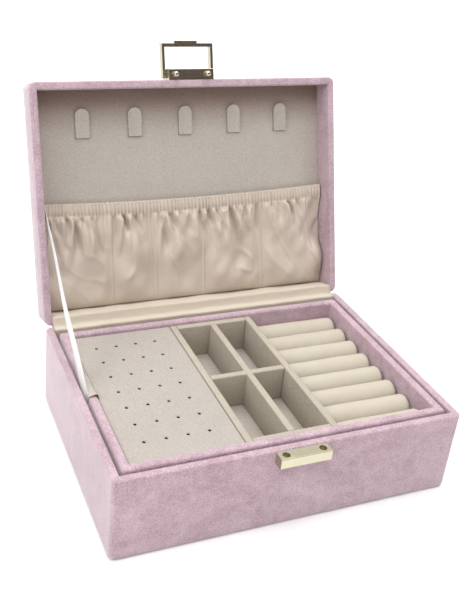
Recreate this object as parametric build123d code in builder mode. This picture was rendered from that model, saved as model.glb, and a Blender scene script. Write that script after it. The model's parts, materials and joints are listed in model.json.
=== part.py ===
"""Two-layer jewelry box: a velvet-covered base and lid on a cloth hinge, a lift-out tray
with an earring pad, a four-cell divider and ring rolls, and a swing-loop clasp.

Millimetres. The origin is the middle of the underside, +Z is up, -Y is the clasp side.
The lid stands open on its stay ribbon. Lid pieces are drawn as they lie with the lid
closed, with z counted up from the lid's rim, and lid_frame then swings them open.
"""
from build123d import *
import os

os.makedirs("parts", exist_ok=True)

# ---- driving dimensions -------------------------------------------------------------
BOX_WIDTH = 230.0
BOX_DEPTH = 165.0
BASE_HEIGHT = 58.5
LID_HEIGHT = 24.2
RIM_GAP = 1.4
OPEN_ANGLE = 108.6

# carcass boards and their velvet
BOARD = 4.0
VELVET = 0.6
BASE_CORNER_R = 3.5
LID_CORNER_R = 4.5
OUTER_EDGE_R = 3.0
RIM_R = 1.2
SIDE_WALL = BOARD + 2 * VELVET
UNDERSIDE_CLOTH = 0.9
UNDERSIDE_INSET = 14.0
WRAP_LIFT = 0.3

# lower compartment
LINER = 6.5
FLOOR_LINING = 0.8
TRAY_SEAT = 28.5

# tray
TRAY_GAP = 2.2
TRAY_BACK_GAP = 3.8
TRAY_PROUD = 0.3
TRAY_BOARD = 4.0
TRAY_VELVET = 0.85
TRAY_FLOOR = 3.0
TRAY_CORNER_R = 2.0
TRAY_RIM_R = 1.8
INSERT_DROP = 2.3
FIT_GAP = 0.2

# earring pad
PAD_WIDTH = 72.3
PAD_THICK = 10.0
PAD_RISER = 5.0
PAD_EDGE_R = 1.5
POST_HOLE_R = 1.0
POST_MARGIN_X = 15.525
POST_MARGIN_Y = 17.1
POST_COLUMNS = 4
POST_ROWS = 7
POST_SHIFT_X = -1.0
POST_SHIFT_Y = 1.0

# divider insert
INSERT_WIDTH = 62.6
INSERT_WALL = 4.7
LONG_DIVIDER_SHIFT = 0.4
CROSS_DIVIDER_SHIFT = 1.3

# ring rolls
ROLL_COUNT = 8
ROLL_GAP = 0.3
ROLL_RISE = 1.9
ROLL_END_GAP = 1.9
ROLL_END_R = 3.0

# lid lining, necklace tabs and pocket
PANEL = 2.0
PANEL_GAP = 0.1
TAB_COUNT = 5
TAB_WIDTH = 10.0
TAB_LENGTH = 20.3
TAB_THICK = 1.2
TAB_PITCH = 38.3
TAB_INSET = 12.9
TAB_LIFT = 0.4
SLIT_GAP = 0.3
POCKET_TOP = 81.5
POCKET_BULGE = 5.6
POCKET_KNEE = 3.0
POCKET_MOUTH = 2.2
POCKET_CLOTH = 0.8
CASING_WIDTH = 8.0
ELASTIC_WIDTH = 6.0
ELASTIC_THICK = 0.7
ELASTIC_GAP = 0.1

# hinge cloth, spine and stay ribbon
HINGE_CLOTH = 0.5
HINGE_TURN_DOWN = 14.0
HINGE_END_GAP = 0.2
SPINE = 0.7
SPINE_LAP = 8.0
SPINE_END_GAP = 5.0
RIBBON_WIDTH = 11.0
RIBBON_THICK = 0.4
RIBBON_WALL_GAP = 0.1
RIBBON_BASE_REACH = 88.2
RIBBON_BASE_DROP = 9.0
RIBBON_LID_REACH = 80.0
RIBBON_PANEL_GAP = 7.6

# clasp
CLASP_WIDTH = 33.6
CLASP_PROUD = 7.5
CLASP_EDGE_R = 0.5
KEEPER_HEIGHT = 7.5
KEEPER_DROP = 0.7
KEEPER_LIP_R = 1.2
BLOCK_HEIGHT = 13.0
BLOCK_LIFT = 0.3
STUD_R = 2.0
STUD_LENGTH = 3.6
STUD_DOME_R = 1.6
STUD_SPACING = 24.2
STUD_GAP = 0.35
SOCKET_DEPTH = 4.0
PIVOT_HEIGHT = 9.0
PIN_R = 1.0
PIN_GRIP = 3.0
PIN_GAP = 0.01
PIN_RUN = 0.05
LOOP_SIDE_GAP = 0.5
LOOP_ARM = 1.9
LOOP_STRIP = 5.0
LOOP_BAR = 2.4
LOOP_REACH_GAP = 0.5
LOOP_EDGE_R = 0.5
LIP_WIDTH = 17.0
LIP_REACH = 2.4
LIP_THICK = 1.6
SCREW_R = 1.25
SCREW_HEAD_R = 2.4
SCREW_HEAD = 1.4
SCREW_SPACING = 13.0
SCREW_BITE = 4.5
SCREW_GAP = 0.05

# tray pull tab
PULL_WIDTH = 23.0
PULL_CLOTH = 0.5
PULL_Y = 7.0
PULL_OUT = 16.0
PULL_IN = 2.0

# ---- places worked out from the sizes -------------------------------------------------
front_y = -BOX_DEPTH / 2
back_y = BOX_DEPTH / 2
board_x = BOX_WIDTH / 2 - VELVET
board_y = BOX_DEPTH / 2 - VELVET
inner_x = BOX_WIDTH / 2 - SIDE_WALL
inner_y = BOX_DEPTH / 2 - SIDE_WALL
core_x = board_x - BOARD
core_y = board_y - BOARD
liner_x = core_x - LINER
liner_y = core_y - LINER

hinge_point = Vector(0, back_y, BASE_HEIGHT + RIM_GAP / 2)
swing = Location(hinge_point) * Location((0, 0, 0), (-OPEN_ANGLE, 0, 0)) * Location(-hinge_point)
lid_frame = Plane(swing * Location((0, 0, BASE_HEIGHT + RIM_GAP)))

panel_low = LID_HEIGHT - VELVET - BOARD - PANEL
panel_high = panel_low + PANEL
tray_front = -inner_y + TRAY_GAP
tray_back = inner_y - TRAY_BACK_GAP
tray_x = inner_x - TRAY_GAP
tray_top = BASE_HEIGHT + TRAY_PROUD
tray_wall = TRAY_BOARD + 2 * TRAY_VELVET
cell_x = tray_x - tray_wall
cell_front = tray_front + tray_wall
cell_back = tray_back - tray_wall
cell_mid = (cell_front + cell_back) / 2
cell_floor = TRAY_SEAT + TRAY_FLOOR
insert_top = tray_top - INSERT_DROP
insert_left = -cell_x + PAD_WIDTH + 2 * FIT_GAP
insert_right = insert_left + INSERT_WIDTH

keeper_top = BASE_HEIGHT - KEEPER_DROP
keeper_low = keeper_top - KEEPER_HEIGHT
keeper_screw_z = keeper_low + KEEPER_HEIGHT / 2 - SCREW_R
block_screw_z = BLOCK_LIFT + BLOCK_HEIGHT / 2
clasp_mid_y = front_y - CLASP_PROUD / 2


def save(piece, name, frame=Plane.XY):
    """Place a finished piece by its frame, label it and write its own file."""
    with BuildPart(frame) as placed:
        add(piece.part)
    placed.part.label = name
    export_step(placed.part, f"parts/{name}.step")


def slab(low, high, mode=Mode.ADD):
    """A plain block between two corners."""
    centre = tuple((a + b) / 2 for a, b in zip(low, high))
    size = [b - a for a, b in zip(low, high)]
    with Locations(centre):
        Box(*size, mode=mode)


def rods(radius, length, points, direction, mode=Mode.ADD):
    """A round bar, or a hole, that runs one way from each of the points."""
    with Locations(*[Plane(point, z_dir=direction) for point in points]):
        Cylinder(radius, length, align=(Align.CENTER, Align.CENTER, Align.MIN), mode=mode)


def rounded_slab(low, high, corner_r, low_r=0.0, high_r=0.0):
    """A block with rounded upright corners and, where a radius is given, rounded ends."""
    slab(low, high)
    fillet(edges().filter_by(Axis.Z), corner_r)
    if low_r:
        fillet(faces().sort_by(Axis.Z)[0].edges(), low_r)
    if high_r:
        fillet(faces().sort_by(Axis.Z)[-1].edges(), high_r)


def screw_points(y, z):
    """The pair of screws that holds a clasp half to its wall."""
    return [(-SCREW_SPACING / 2, y, z), (SCREW_SPACING / 2, y, z)]


def stud_points(z):
    """The studs of the lid's clasp half, and the sockets of the keeper."""
    return [(-STUD_SPACING / 2, clasp_mid_y, z), (STUD_SPACING / 2, clasp_mid_y, z)]


def clasp_screws(z):
    """Flat-headed screws put in from the inside, heads sunk in the board."""
    head_y = -core_y
    rods(SCREW_HEAD_R, SCREW_HEAD, screw_points(head_y, z), (0, -1, 0))
    rods(SCREW_R, BOARD + VELVET + SCREW_BITE, screw_points(head_y, z), (0, -1, 0))


def screw_way(z):
    """Clearance for the clasp screws through a front wall."""
    points = screw_points(-core_y, z)
    rods(SCREW_HEAD_R + SCREW_GAP, SCREW_HEAD, points, (0, -1, 0), Mode.SUBTRACT)
    rods(SCREW_R + SCREW_GAP, BOARD + VELVET, points, (0, -1, 0), Mode.SUBTRACT)


def wall_ring(outline, low, high, board, corner_r, low_r=0.0, high_r=0.0):
    """Four boards of one thickness as a ring. The outline is its half width, front and back."""
    x, front, back = outline
    rounded_slab((-x, front, low), (x, back, high), corner_r, low_r, high_r)
    slab((board - x, front + board, low), (x - board, back - board, high), Mode.SUBTRACT)


def wall_boards(prefix, ring, outline, low, high, board, frame=Plane.XY, screw_z=None):
    """Cut the ring into boards: front and back run full width, the sides butt between them."""
    x, front, back = outline
    regions = {
        "front": ((-x, front, low), (x, front + board, high)),
        "back": ((-x, back - board, low), (x, back, high)),
        "left": ((-x, front + board, low), (board - x, back - board, high)),
        "right": ((x - board, front + board, low), (x, back - board, high)),
    }
    for side, (near, far) in regions.items():
        with BuildPart() as wall:
            add(ring.part)
            slab(near, far, Mode.INTERSECT)
            if side == "front" and screw_z is not None:
                screw_way(screw_z)
        save(wall, f"{prefix}_{side}_board", frame)


def round_inner_rim(half_width, radius, upper):
    """Round the inside edges of a rim once the hollow has been cut."""
    rim = edges().filter_by(Plane.XY).group_by(Axis.Z)[-1 if upper else 0]
    fillet(rim.filter_by_position(Axis.X, -half_width, half_width), radius)


# ---- base -----------------------------------------------------------------------------
base_board_low = UNDERSIDE_CLOTH
base_board_high = BASE_HEIGHT - VELVET

with BuildPart() as base_underside_cover:
    rounded_slab(
        (UNDERSIDE_INSET - BOX_WIDTH / 2, UNDERSIDE_INSET + front_y, 0),
        (BOX_WIDTH / 2 - UNDERSIDE_INSET, back_y - UNDERSIDE_INSET, UNDERSIDE_CLOTH),
        BASE_CORNER_R,
    )
save(base_underside_cover, "base_underside_cover")

with BuildPart() as base_bottom_board:
    slab((-core_x, -core_y, base_board_low), (core_x, core_y, base_board_low + BOARD))
save(base_bottom_board, "base_bottom_board")

box_outline = (board_x, -board_y, board_y)

with BuildPart() as base_ring:
    wall_ring(
        box_outline, base_board_low, base_board_high, BOARD, BASE_CORNER_R - VELVET, OUTER_EDGE_R - VELVET
    )
wall_boards(
    "base", base_ring, box_outline, base_board_low, base_board_high, BOARD, screw_z=keeper_screw_z
)

# one velvet sheet: turned under the box, up the outside, over the rim and down inside
with BuildPart() as base_velvet_wrap:
    rounded_slab(
        (-BOX_WIDTH / 2, front_y, WRAP_LIFT),
        (BOX_WIDTH / 2, back_y, BASE_HEIGHT),
        BASE_CORNER_R,
        OUTER_EDGE_R,
        RIM_R,
    )
    slab((-inner_x, -inner_y, TRAY_SEAT), (inner_x, inner_y, BASE_HEIGHT), Mode.SUBTRACT)
    round_inner_rim(inner_x, RIM_R, upper=True)
    slab((-core_x, -core_y, base_board_low), (core_x, core_y, TRAY_SEAT), Mode.SUBTRACT)
    slab(
        (UNDERSIDE_INSET - BOX_WIDTH / 2 - FIT_GAP, UNDERSIDE_INSET + front_y - FIT_GAP, 0),
        (BOX_WIDTH / 2 - UNDERSIDE_INSET + FIT_GAP, back_y - UNDERSIDE_INSET + FIT_GAP, base_board_low),
        Mode.SUBTRACT,
    )
    add(base_ring.part, mode=Mode.SUBTRACT)
    screw_way(keeper_screw_z)
save(base_velvet_wrap, "base_velvet_wrap")

# lower compartment: a lined floor and four liner boards that carry the tray
liner_low = base_board_low + BOARD + FLOOR_LINING
with BuildPart() as lower_floor_lining:
    slab((-core_x, -core_y, liner_low - FLOOR_LINING), (core_x, core_y, liner_low))
save(lower_floor_lining, "lower_floor_lining")

liner_regions = {
    "front": ((-core_x, -core_y, liner_low), (core_x, -liner_y, TRAY_SEAT)),
    "back": ((-core_x, liner_y, liner_low), (core_x, core_y, TRAY_SEAT)),
    "left": ((-core_x, -liner_y, liner_low), (-liner_x, liner_y, TRAY_SEAT)),
    "right": ((liner_x, -liner_y, liner_low), (core_x, liner_y, TRAY_SEAT)),
}
for side, (near, far) in liner_regions.items():
    with BuildPart() as liner:
        slab(near, far)
    save(liner, f"lower_{side}_liner")

# clasp keeper: a cast block with two blind sockets for the studs of the lid half
with BuildPart() as clasp_keeper:
    slab((-CLASP_WIDTH / 2, front_y - CLASP_PROUD, keeper_low), (CLASP_WIDTH / 2, front_y, keeper_top))
    low_edge, high_edge = edges().filter_by(Axis.X).group_by(Axis.Y)[0].sort_by(Axis.Z)
    fillet(low_edge, KEEPER_LIP_R)
    fillet(high_edge, CLASP_EDGE_R)
    rods(STUD_R + STUD_GAP, SOCKET_DEPTH, stud_points(keeper_top), (0, 0, -1), Mode.SUBTRACT)
    rods(SCREW_R + PIN_GAP, SCREW_BITE, screw_points(front_y, keeper_screw_z), (0, -1, 0), Mode.SUBTRACT)
save(clasp_keeper, "clasp_keeper")

with BuildPart() as keeper_screws:
    clasp_screws(keeper_screw_z)
save(keeper_screws, "keeper_screws")

# ---- lid ------------------------------------------------------------------------------
lid_board_high = LID_HEIGHT - VELVET

with BuildPart() as lid_ring:
    wall_ring(
        box_outline, VELVET, lid_board_high, BOARD, LID_CORNER_R - VELVET, high_r=OUTER_EDGE_R - VELVET
    )
wall_boards("lid", lid_ring, box_outline, VELVET, lid_board_high, BOARD, lid_frame, block_screw_z)

with BuildPart() as lid_top_board:
    slab((-core_x, -core_y, panel_high), (core_x, core_y, lid_board_high))
save(lid_top_board, "lid_top_board", lid_frame)

with BuildPart() as lid_velvet_wrap:
    rounded_slab(
        (-BOX_WIDTH / 2, front_y, 0),
        (BOX_WIDTH / 2, back_y, LID_HEIGHT),
        LID_CORNER_R,
        RIM_R,
        OUTER_EDGE_R,
    )
    slab((-inner_x, -inner_y, 0), (inner_x, inner_y, panel_high), Mode.SUBTRACT)
    round_inner_rim(inner_x, RIM_R, upper=False)
    slab((-core_x, -core_y, panel_high), (core_x, core_y, lid_board_high), Mode.SUBTRACT)
    add(lid_ring.part, mode=Mode.SUBTRACT)
    screw_way(block_screw_z)
save(lid_velvet_wrap, "lid_velvet_wrap", lid_frame)

# necklace tabs: cloth-covered tongues that come through a slit and lie on the panel
tab_centres = [(n - (TAB_COUNT - 1) / 2) * TAB_PITCH for n in range(TAB_COUNT)]
tab_root_y = -inner_y + TAB_INSET + TAB_LENGTH
tab_face = panel_low - TAB_LIFT

with BuildPart() as lid_lining_panel:
    slab(
        (PANEL_GAP - inner_x, PANEL_GAP - inner_y, panel_low),
        (inner_x - PANEL_GAP, inner_y - PANEL_GAP, panel_high),
    )
    for x in tab_centres:
        slab(
            (x - TAB_WIDTH / 2 - SLIT_GAP, tab_root_y - TAB_THICK - SLIT_GAP, panel_low),
            (x + TAB_WIDTH / 2 + SLIT_GAP, tab_root_y + SLIT_GAP, panel_high),
            Mode.SUBTRACT,
        )
save(lid_lining_panel, "lid_lining_panel", lid_frame)

tab_straight = TAB_LENGTH - TAB_WIDTH / 2
for number, x in enumerate(tab_centres, start=1):
    with BuildPart() as necklace_tab:
        with BuildSketch(Plane.XY.offset(tab_face - TAB_THICK)):
            with Locations((x, tab_root_y - tab_straight / 2)):
                Rectangle(TAB_WIDTH, tab_straight)
            with Locations((x, tab_root_y - tab_straight)):
                Circle(TAB_WIDTH / 2)
        extrude(amount=TAB_THICK)
        slab(
            (x - TAB_WIDTH / 2, tab_root_y - TAB_THICK, tab_face),
            (x + TAB_WIDTH / 2, tab_root_y, panel_high),
        )
    save(necklace_tab, f"necklace_tab_{number}", lid_frame)

# elastic pocket: sewn along its foot, bulging off the panel, gathered by a cased elastic
casing_thick = 2 * POCKET_CLOTH + ELASTIC_THICK + 2 * ELASTIC_GAP
casing_face = panel_low - POCKET_MOUTH - casing_thick
pocket_half = inner_x - RIBBON_WALL_GAP - RIBBON_THICK - FIT_GAP
pocket_foot_y = inner_y - HINGE_CLOTH - FIT_GAP
pocket_top_y = back_y - POCKET_TOP
casing_foot_y = pocket_top_y + CASING_WIDTH
pocket_profile = [
    (pocket_foot_y, panel_low),
    (pocket_foot_y - POCKET_KNEE / 3, panel_low - POCKET_BULGE + POCKET_KNEE / 3),
    (pocket_foot_y - POCKET_KNEE, panel_low - POCKET_BULGE),
    (casing_foot_y, casing_face),
    (pocket_top_y, casing_face),
    (pocket_top_y, casing_face + casing_thick),
    (casing_foot_y, casing_face + casing_thick),
    (pocket_foot_y - POCKET_KNEE, panel_low - POCKET_BULGE + POCKET_CLOTH),
    (pocket_foot_y - POCKET_KNEE / 3 - POCKET_CLOTH, panel_low - POCKET_BULGE + POCKET_KNEE),
    (pocket_foot_y - POCKET_KNEE / 3 - POCKET_CLOTH, panel_low),
]
elastic_mid = ((pocket_top_y + casing_foot_y) / 2, casing_face + casing_thick / 2)

with BuildPart() as pocket_cloth:
    with BuildSketch(Plane.YZ):
        with BuildLine():
            Polyline(*pocket_profile, close=True)
        make_face()
        with Locations(elastic_mid):
            Rectangle(ELASTIC_WIDTH + 2 * ELASTIC_GAP, ELASTIC_THICK + 2 * ELASTIC_GAP, mode=Mode.SUBTRACT)
    extrude(amount=pocket_half, both=True)
save(pocket_cloth, "pocket_cloth", lid_frame)

with BuildPart() as pocket_elastic:
    with BuildSketch(Plane.YZ):
        with Locations(elastic_mid):
            Rectangle(ELASTIC_WIDTH, ELASTIC_THICK)
    extrude(amount=pocket_half, both=True)
save(pocket_elastic, "pocket_elastic", lid_frame)

# clasp block on the lid: a casting with two domed studs, drilled at each end for the pins
with BuildPart() as clasp_block:
    slab(
        (-CLASP_WIDTH / 2, front_y - CLASP_PROUD, BLOCK_LIFT),
        (CLASP_WIDTH / 2, front_y, BLOCK_LIFT + BLOCK_HEIGHT),
    )
    fillet(edges().filter_by(Axis.X).group_by(Axis.Y)[0], CLASP_EDGE_R)
    rods(STUD_R, STUD_LENGTH, stud_points(BLOCK_LIFT), (0, 0, -1))
    fillet(edges().filter_by(GeomType.CIRCLE).group_by(Axis.Z)[0], STUD_DOME_R)
    for side in (-1, 1):
        bore = [(side * CLASP_WIDTH / 2, clasp_mid_y, PIVOT_HEIGHT)]
        rods(PIN_R + PIN_GAP, PIN_GRIP, bore, (-side, 0, 0), Mode.SUBTRACT)
    rods(SCREW_R + PIN_GAP, SCREW_BITE, screw_points(front_y, block_screw_z), (0, -1, 0), Mode.SUBTRACT)
save(clasp_block, "clasp_block", lid_frame)

with BuildPart() as block_screws:
    clasp_screws(block_screw_z)
save(block_screws, "block_screws", lid_frame)

with BuildPart() as hasp_pins:
    for side in (-1, 1):
        seat = [(side * (CLASP_WIDTH / 2 - PIN_GRIP), clasp_mid_y, PIVOT_HEIGHT)]
        rods(PIN_R, PIN_GRIP + LOOP_SIDE_GAP + LOOP_ARM, seat, (side, 0, 0))
save(hasp_pins, "hasp_pins", lid_frame)

# ---- swing loop: two arms on the pins and a bar that snaps under the keeper -----------
loop_inner_x = CLASP_WIDTH / 2 + LOOP_SIDE_GAP
loop_outer_x = loop_inner_x + LOOP_ARM
loop_reach = PIVOT_HEIGHT + RIM_GAP + KEEPER_DROP + KEEPER_HEIGHT + LOOP_REACH_GAP
loop_low = PIVOT_HEIGHT - LOOP_STRIP / 2
loop_high = PIVOT_HEIGHT + LOOP_STRIP / 2
loop_heel_y = clasp_mid_y + LOOP_STRIP / 2
bar_inner_y = clasp_mid_y - loop_reach
bar_outer_y = bar_inner_y - LOOP_BAR

with BuildPart() as hasp_loop:
    slab((-loop_outer_x, bar_outer_y, loop_low), (loop_outer_x, loop_heel_y, loop_high))
    slab((-loop_inner_x, bar_inner_y, loop_low), (loop_inner_x, loop_heel_y, loop_high), Mode.SUBTRACT)
    fillet(edges().filter_by(Axis.X).group_by(Axis.Y)[-1], LOOP_STRIP / 2 - PIN_GAP)
    fillet(edges().filter_by(Axis.Z).group_by(Axis.Y)[0], LOOP_EDGE_R)
    slab(
        (-LIP_WIDTH / 2, bar_outer_y - LIP_REACH, loop_high - LIP_THICK),
        (LIP_WIDTH / 2, bar_outer_y, loop_high),
    )
    fillet(edges().filter_by(Axis.X).group_by(Axis.Y)[0], LOOP_EDGE_R)
    arm_bore = [(-loop_outer_x, clasp_mid_y, PIVOT_HEIGHT)]
    rods(PIN_R + PIN_RUN, 2 * loop_outer_x, arm_bore, (1, 0, 0), Mode.SUBTRACT)
save(hasp_loop, "hasp_loop", lid_frame)

# ---- cloth that crosses the hinge -----------------------------------------------------
# a 45 degree cut across a rounded rim touches the curve at its middle
flat_of_curve = 2 - 2**0.5
corner_shift = 2**0.5 - 1


def in_base(y, depth):
    """A point of the base section, by its depth below the rim."""
    return (y, BASE_HEIGHT - depth)


def in_lid(y, depth):
    """The same point of the lid section, swung open."""
    point = lid_frame.from_local_coords(Vector(0, y, depth))
    return (point.Y, point.Z)


def strip(outline, half_width):
    """A cloth strip with one section, running left to right."""
    with BuildSketch(Plane.YZ) as section:
        with BuildLine():
            Polyline(*outline, close=True)
        make_face()
    extrude(section.sketch, amount=half_width, both=True)


hinge_line = (hinge_point.Y, hinge_point.Z)
fold = Vector(1, 0, 0).rotate(Axis.Z, -OPEN_ANGLE / 2)
rim_cut = flat_of_curve * RIM_R
face_cut = rim_cut - corner_shift * HINGE_CLOTH
glued = [(inner_y, rim_cut), (inner_y + rim_cut, 0), (back_y - rim_cut, 0)]
facing = [(inner_y - HINGE_CLOTH, face_cut), (inner_y + face_cut, -HINGE_CLOTH)]
cloth_fold = (hinge_point.Y + fold.X * HINGE_CLOTH, hinge_point.Z + fold.Y * HINGE_CLOTH)

with BuildPart() as hinge_cloth:
    strip(
        [in_base(inner_y, HINGE_TURN_DOWN)]
        + [in_base(*point) for point in glued]
        + [cloth_fold]
        + [in_lid(*point) for point in reversed(glued)]
        + [in_lid(inner_y, panel_low), in_lid(inner_y - HINGE_CLOTH, panel_low)]
        + [in_lid(*point) for point in facing]
        + [hinge_line]
        + [in_base(*point) for point in reversed(facing)]
        + [in_base(inner_y - HINGE_CLOTH, HINGE_TURN_DOWN)],
        inner_x - HINGE_END_GAP,
    )
save(hinge_cloth, "hinge_cloth")

spine_corner = (back_y + SPINE, hinge_point.Z + SPINE * fold.Y / fold.X)
with BuildPart() as velvet_spine:
    strip(
        [
            in_base(back_y, SPINE_LAP),
            in_base(back_y + SPINE, SPINE_LAP),
            spine_corner,
            in_lid(back_y + SPINE, SPINE_LAP),
            in_lid(back_y, SPINE_LAP),
            in_lid(back_y, 0),
            in_base(back_y, 0),
        ],
        BOX_WIDTH / 2 - SPINE_END_GAP,
    )
save(velvet_spine, "velvet_spine")

ribbon_x = -inner_x + RIBBON_WALL_GAP
ribbon_foot = Vector(ribbon_x, *in_base(back_y - RIBBON_BASE_REACH, RIBBON_BASE_DROP))
ribbon_head = Vector(ribbon_x, *in_lid(back_y - RIBBON_LID_REACH, panel_low - RIBBON_PANEL_GAP))
ribbon_run = ribbon_head - ribbon_foot
ribbon_plane = Plane((ribbon_foot + ribbon_head) / 2, x_dir=ribbon_run, z_dir=(1, 0, 0))
with BuildPart() as stay_ribbon:
    with BuildSketch(ribbon_plane):
        Rectangle(ribbon_run.length, RIBBON_WIDTH)
    extrude(amount=RIBBON_THICK)
save(stay_ribbon, "stay_ribbon")

# ---- lift-out tray --------------------------------------------------------------------
tray_outline = (tray_x - TRAY_VELVET, tray_front + TRAY_VELVET, tray_back - TRAY_VELVET)
tray_board_high = tray_top - TRAY_VELVET

with BuildPart() as tray_floor_board:
    slab(
        (-tray_outline[0], tray_outline[1], TRAY_SEAT),
        (tray_outline[0], tray_outline[2], cell_floor),
    )
save(tray_floor_board, "tray_floor_board")

with BuildPart() as tray_ring:
    wall_ring(tray_outline, cell_floor, tray_board_high, TRAY_BOARD, TRAY_CORNER_R - TRAY_VELVET)
wall_boards("tray", tray_ring, tray_outline, cell_floor, tray_board_high, TRAY_BOARD)

with BuildPart() as tray_velvet_wrap:
    rounded_slab(
        (-tray_x, tray_front, TRAY_SEAT),
        (tray_x, tray_back, tray_top),
        TRAY_CORNER_R,
        high_r=TRAY_RIM_R,
    )
    slab((-cell_x, cell_front, cell_floor), (cell_x, cell_back, tray_top), Mode.SUBTRACT)
    round_inner_rim(cell_x, TRAY_RIM_R, upper=True)
    add(tray_ring.part, mode=Mode.SUBTRACT)
    add(tray_floor_board.part, mode=Mode.SUBTRACT)
save(tray_velvet_wrap, "tray_velvet_wrap")

# earring pad on two risers, pierced by a grid of post holes
pad_left = -cell_x + FIT_GAP
pad_right = pad_left + PAD_WIDTH
insert_front = cell_front + FIT_GAP
insert_back = cell_back - FIT_GAP
pad_low = insert_top - PAD_THICK
post_pitch_x = (PAD_WIDTH - 2 * POST_MARGIN_X) / (POST_COLUMNS - 1)
post_pitch_y = (insert_back - insert_front - 2 * POST_MARGIN_Y) / (POST_ROWS - 1)

with BuildPart() as earring_pad:
    slab((pad_left, insert_front, pad_low), (pad_right, insert_back, insert_top))
    fillet(faces().sort_by(Axis.Z)[-1].edges(), PAD_EDGE_R)
    with BuildSketch(Plane.XY.offset(insert_top)):
        with Locations(((pad_left + pad_right) / 2 + POST_SHIFT_X, cell_mid + POST_SHIFT_Y)):
            with GridLocations(post_pitch_x, post_pitch_y, POST_COLUMNS, POST_ROWS):
                Circle(POST_HOLE_R)
    extrude(amount=-PAD_THICK, mode=Mode.SUBTRACT)
save(earring_pad, "earring_pad")

with BuildPart() as pad_risers:
    slab((pad_left, insert_front, cell_floor), (pad_right, insert_front + PAD_RISER, pad_low))
    slab((pad_left, insert_back - PAD_RISER, cell_floor), (pad_right, insert_back, pad_low))
save(pad_risers, "pad_risers")

# divider insert: four cloth-covered walls and two dividers halved over each other
divider_x = (insert_left + insert_right) / 2 + LONG_DIVIDER_SHIFT
divider_y = cell_mid + CROSS_DIVIDER_SHIFT
half_wall = INSERT_WALL / 2
notch = half_wall + PIN_RUN
lap_z = (cell_floor + insert_top) / 2
between_x = (insert_left + INSERT_WALL, insert_right - INSERT_WALL)
between_y = (insert_front + INSERT_WALL, insert_back - INSERT_WALL)
insert_walls = {
    "left": ((insert_left, insert_front), (between_x[0], insert_back)),
    "right": ((between_x[1], insert_front), (insert_right, insert_back)),
    "front": ((between_x[0], insert_front), (between_x[1], between_y[0])),
    "back": ((between_x[0], between_y[1]), (between_x[1], insert_back)),
}
for side, (near, far) in insert_walls.items():
    with BuildPart() as insert_wall:
        slab((*near, cell_floor), (*far, insert_top))
    save(insert_wall, f"insert_{side}_wall")

with BuildPart() as insert_long_divider:
    slab(
        (divider_x - half_wall, between_y[0], cell_floor),
        (divider_x + half_wall, between_y[1], insert_top),
    )
    slab(
        (divider_x - half_wall, divider_y - notch, lap_z),
        (divider_x + half_wall, divider_y + notch, insert_top),
        Mode.SUBTRACT,
    )
save(insert_long_divider, "insert_long_divider")

with BuildPart() as insert_cross_divider:
    slab(
        (between_x[0], divider_y - half_wall, cell_floor),
        (between_x[1], divider_y + half_wall, insert_top),
    )
    slab(
        (divider_x - notch, divider_y - half_wall, cell_floor),
        (divider_x + notch, divider_y + half_wall, lap_z),
        Mode.SUBTRACT,
    )
save(insert_cross_divider, "insert_cross_divider")

# ring rolls: foam cores in cloth, side by side, pressed a little taller than they are wide
# and free at their right ends
roll_pitch = (cell_back - cell_front) / ROLL_COUNT
roll_r = (roll_pitch - ROLL_GAP) / 2
roll_rise = roll_r + ROLL_RISE / 2
roll_left = insert_right + FIT_GAP
roll_length = cell_x - ROLL_END_GAP - roll_left
for number in range(1, ROLL_COUNT + 1):
    with BuildPart() as ring_roll:
        roll_y = cell_front + (number - 0.5) * roll_pitch
        roll_root = Plane(origin=(roll_left, roll_y, cell_floor + roll_rise), x_dir=(0, 1, 0), z_dir=(1, 0, 0))
        with BuildSketch(roll_root):
            Ellipse(roll_r, roll_rise)
        extrude(amount=roll_length)
        fillet(edges().sort_by(Axis.X)[-1], ROLL_END_R)
    save(ring_roll, f"ring_roll_{number}")

# pull tab: a cloth loop over the left rim, to lift the tray by
tab_cut = flat_of_curve * TRAY_RIM_R
tab_face_cut = tab_cut - corner_shift * PULL_CLOTH
with BuildPart() as tray_pull_tab:
    with BuildSketch(Plane.XZ.offset(-PULL_Y)):
        with BuildLine():
            Polyline(
                (-tray_x, tray_top - PULL_OUT),
                (-tray_x, tray_top - tab_cut),
                (-tray_x + tab_cut, tray_top),
                (-cell_x - tab_cut, tray_top),
                (-cell_x, tray_top - tab_cut),
                (-cell_x, tray_top - PULL_IN),
                (-cell_x + PULL_CLOTH, tray_top - PULL_IN),
                (-cell_x + PULL_CLOTH, tray_top - tab_face_cut),
                (-cell_x - tab_face_cut, tray_top + PULL_CLOTH),
                (-tray_x + tab_face_cut, tray_top + PULL_CLOTH),
                (-tray_x - PULL_CLOTH, tray_top - tab_face_cut),
                (-tray_x - PULL_CLOTH, tray_top - PULL_OUT),
                close=True,
            )
        make_face()
    extrude(amount=PULL_WIDTH / 2, both=True)
save(tray_pull_tab, "tray_pull_tab")
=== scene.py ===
"""A two-layer jewelry box in pink velvet, lined with beige suede, standing open on its ribbon.

Metres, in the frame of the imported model: +X to the box's right, -Y the clasp side, +Z up.
"""
import json
import math
import random

import bmesh
import bpy
import numpy as np
from mathutils import Matrix, Vector, noise


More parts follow.
